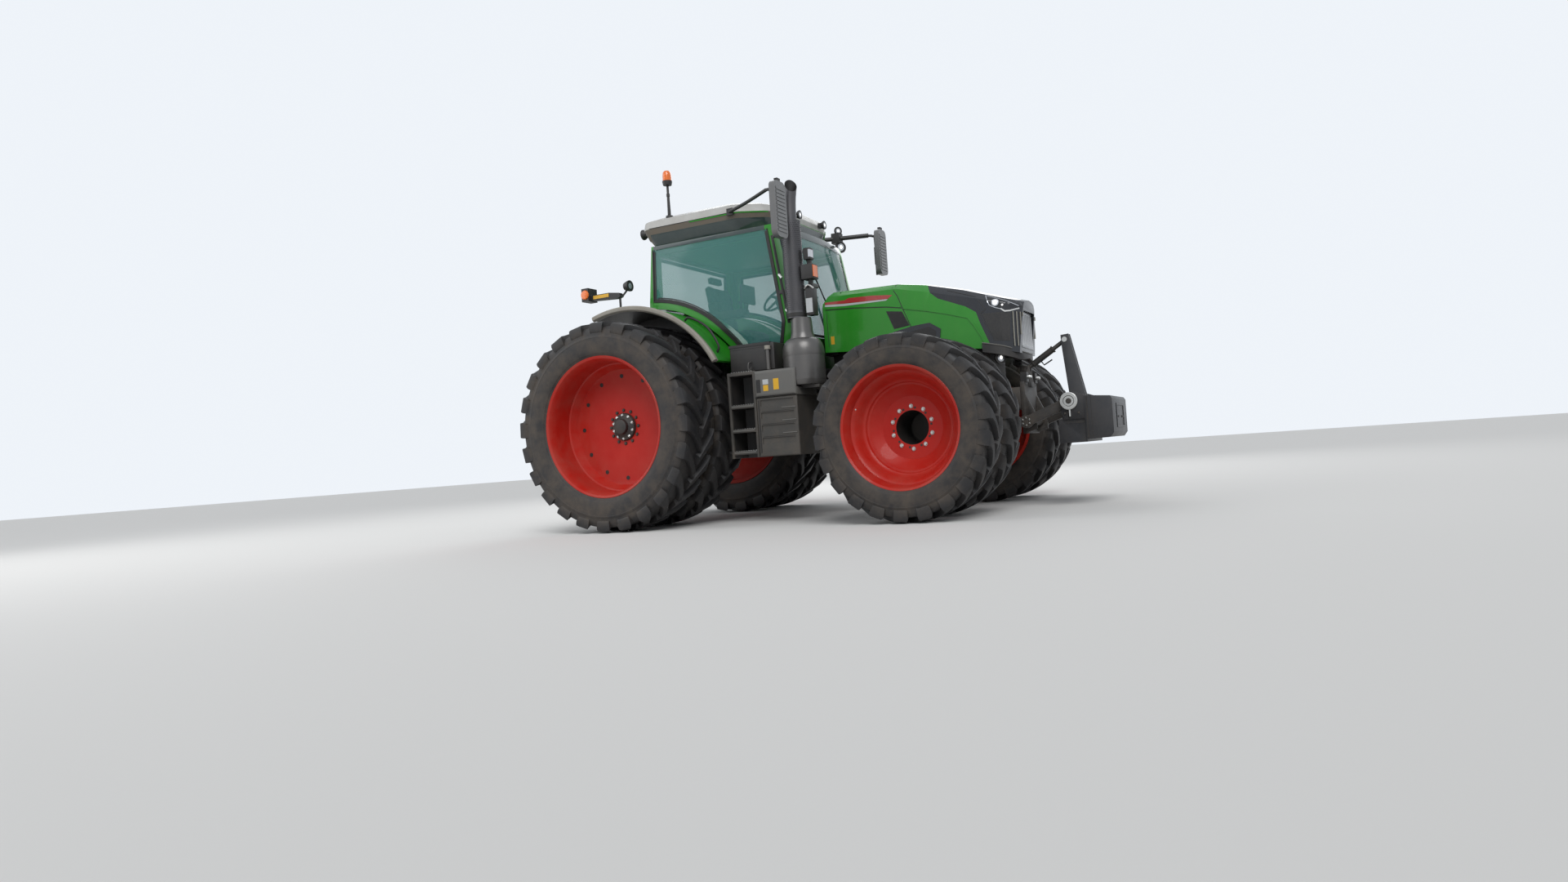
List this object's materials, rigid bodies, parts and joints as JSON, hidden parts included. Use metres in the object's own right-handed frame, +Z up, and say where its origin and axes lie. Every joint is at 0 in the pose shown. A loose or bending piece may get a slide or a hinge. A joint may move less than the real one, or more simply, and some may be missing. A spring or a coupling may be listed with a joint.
{
  "type": "farm tractor",
  "caption": "Row-crop farm tractor on twin wheels with cab, lifting bonnet, front ballast on a lift linkage and rear three-point linkage.",
  "frame": {"origin": "centre of the bounding box at ground level", "axes": "+X forward, +Y to the tractor's left, +Z up"},
  "size_m": [5.765, 3.57, 3.72],
  "materials": {
    "tyre_rubber": "dusty rubber",
    "rim_red": "semi-gloss paint",
    "chassis_grey": "satin paint",
    "ballast_grey": "satin paint",
    "body_green": "gloss paint",
    "gloss_black": "gloss",
    "charcoal_plastic": "matte",
    "seat_fabric": "woven",
    "satin_black": "satin paint",
    "roof_grey": "dusty gloss",
    "cab_glass": "tinted clear",
    "lamp_clear": "clear"
  },
  "bodies": {
    "chassis": {"armrest": "charcoal_plastic", "cab_floor": "body_green", "cab_frame": "body_green", "cab_glass": "cab_glass", "cab_roof": "roof_grey", "cowl": "gloss_black", "deck_box_right": "charcoal_plastic", "drawbar": "chassis_grey", "engine_block": "chassis_grey", "exhaust_canister": "satin_black", "exhaust_pipe": "satin_black", "exhaust_shield": "satin_black", "fenders": "body_green", "front_axle": "chassis_grey", "front_frame": "chassis_grey", "front_hitch_frame": "chassis_grey", "fuel_tank_left": "charcoal_plastic", "gearbox": "chassis_grey", "marker_lamps": "lamp_clear", "mirrors": "charcoal_plastic", "radiator": "charcoal_plastic", "rear_hitch_frame": "chassis_grey", "roof_lamps": "lamp_clear", "seat_base": "charcoal_plastic", "seat_cushion": "seat_fabric", "side_box_right": "charcoal_plastic", "side_lamp_right": "lamp_clear", "steering_column": "charcoal_plastic", "steps": "charcoal_plastic"},
    "front_lift": {"front_lift_arms": "chassis_grey"},
    "ballast": {"ballast_weight": "ballast_grey"},
    "front_link": {"front_top_link": "chassis_grey"},
    "lower_links": {"lower_links": "chassis_grey"},
    "lift_arms": {"lift_arms": "chassis_grey"},
    "lift_rods": {"lift_rods": "chassis_grey"},
    "rear_link": {"rear_top_link": "chassis_grey"},
    "hood": {"hood": "body_green", "hood_nose": "gloss_black", "headlamps": "lamp_clear", "grille": "charcoal_plastic"},
    "door_left": {"door_frame_left": "body_green", "door_glass_left": "cab_glass"},
    "knuckle_left": {"knuckle_left": "chassis_grey"},
    "knuckle_right": {"knuckle_right": "chassis_grey"},
    "steering_rod": {"steering_rod": "chassis_grey"},
    "wheel_front_left": {"tyres_front_left": "tyre_rubber", "wheel_front_left": "rim_red"},
    "wheel_front_right": {"tyres_front_right": "tyre_rubber", "wheel_front_right": "rim_red"},
    "wheel_rear_left": {"tyres_rear_left": "tyre_rubber", "wheel_rear_left": "rim_red"},
    "wheel_rear_right": {"tyres_rear_right": "tyre_rubber", "wheel_rear_right": "rim_red"}
  },
  "joints": [
    {"name": "wheel_rear_left_spin", "type": "hinge", "parent": "chassis", "child": "wheel_rear_left", "pos_m": [-1.7025, 1.54, 1.04], "axis": [0, 1, 0], "continuous": true},
    {"name": "wheel_rear_right_spin", "type": "hinge", "parent": "chassis", "child": "wheel_rear_right", "pos_m": [-1.7025, -1.54, 1.04], "axis": [0, 1, 0], "continuous": true},
    {"name": "steering_right", "type": "hinge", "parent": "chassis", "child": "knuckle_right", "pos_m": [1.3475, -0.62, 0.808], "axis": [0, 0, 1], "range_deg": [-20, 20]},
    {"name": "wheel_front_right_spin", "type": "hinge", "parent": "knuckle_right", "child": "wheel_front_right", "pos_m": [1.3475, -1.53, 0.808], "axis": [0, 1, 0], "continuous": true},
    {"name": "steering_left", "type": "hinge", "parent": "chassis", "child": "knuckle_left", "pos_m": [1.3475, 0.62, 0.808], "axis": [0, 0, 1], "range_deg": [-20, 20]},
    {"name": "wheel_front_left_spin", "type": "hinge", "parent": "knuckle_left", "child": "wheel_front_left", "pos_m": [1.3475, 1.53, 0.808], "axis": [0, 1, 0], "continuous": true},
    {"name": "steering_rod_slide", "type": "slide", "parent": "chassis", "child": "steering_rod", "axis": [0, 1, 0], "range_m": [-0.07, 0.07]},
    {"name": "hood_hinge", "type": "hinge", "parent": "chassis", "child": "hood", "pos_m": [0.3375, 0, 2.235], "axis": [0, -1, 0], "range_deg": [0, 45]},
    {"name": "door_left_hinge", "type": "hinge", "parent": "chassis", "child": "door_left", "pos_m": [-1.5525, 0.915, 2.3], "axis": [0, 0, 1], "range_deg": [0, 42]},
    {"name": "front_lift", "type": "hinge", "parent": "chassis", "child": "front_lift", "pos_m": [2.0975, 0, 0.8], "axis": [0, -1, 0], "range_deg": [-25, 15]},
    {"name": "ballast_tilt", "type": "hinge", "parent": "front_lift", "child": "ballast", "pos_m": [2.5035, 0, 0.955], "axis": [0, -1, 0], "range_deg": [-14, 22]},
    {"name": "front_link_swing", "type": "hinge", "parent": "chassis", "child": "front_link", "pos_m": [2.0415, 0, 1.298], "axis": [0, -1, 0], "range_deg": [-26, 16]},
    {"name": "rear_lift", "type": "hinge", "parent": "chassis", "child": "lower_links", "pos_m": [-1.9025, 0, 0.62], "axis": [0, 1, 0], "range_deg": [-12, 28]},
    {"name": "lift_arm_swing", "type": "hinge", "parent": "chassis", "child": "lift_arms", "pos_m": [-2.0025, 0, 1.19], "axis": [0, 1, 0], "range_deg": [-17, 38]},
    {"name": "lift_rod_swing", "type": "hinge", "parent": "lift_arms", "child": "lift_rods", "pos_m": [-2.4825, 0, 1.31], "axis": [0, 1, 0], "range_deg": [-30, 14]},
    {"name": "rear_link_swing", "type": "hinge", "parent": "chassis", "child": "rear_link", "pos_m": [-2.1425, 0, 1.02], "axis": [0, 1, 0], "range_deg": [-15, 35]}
  ],
  "couplings": [
    {"joint": "steering_left", "follows": "steering_right", "ratio": 1},
    {"joint": "steering_rod_slide", "follows": "steering_right", "m_per_rad": -0.196},
    {"joint": "ballast_tilt", "follows": "front_lift", "ratio": -0.84},
    {"joint": "front_link_swing", "follows": "front_lift", "ratio": 0.99},
    {"joint": "lift_arm_swing", "follows": "rear_lift", "ratio": 1.3},
    {"joint": "lift_rod_swing", "follows": "rear_lift", "ratio": -1.02}
  ]
}
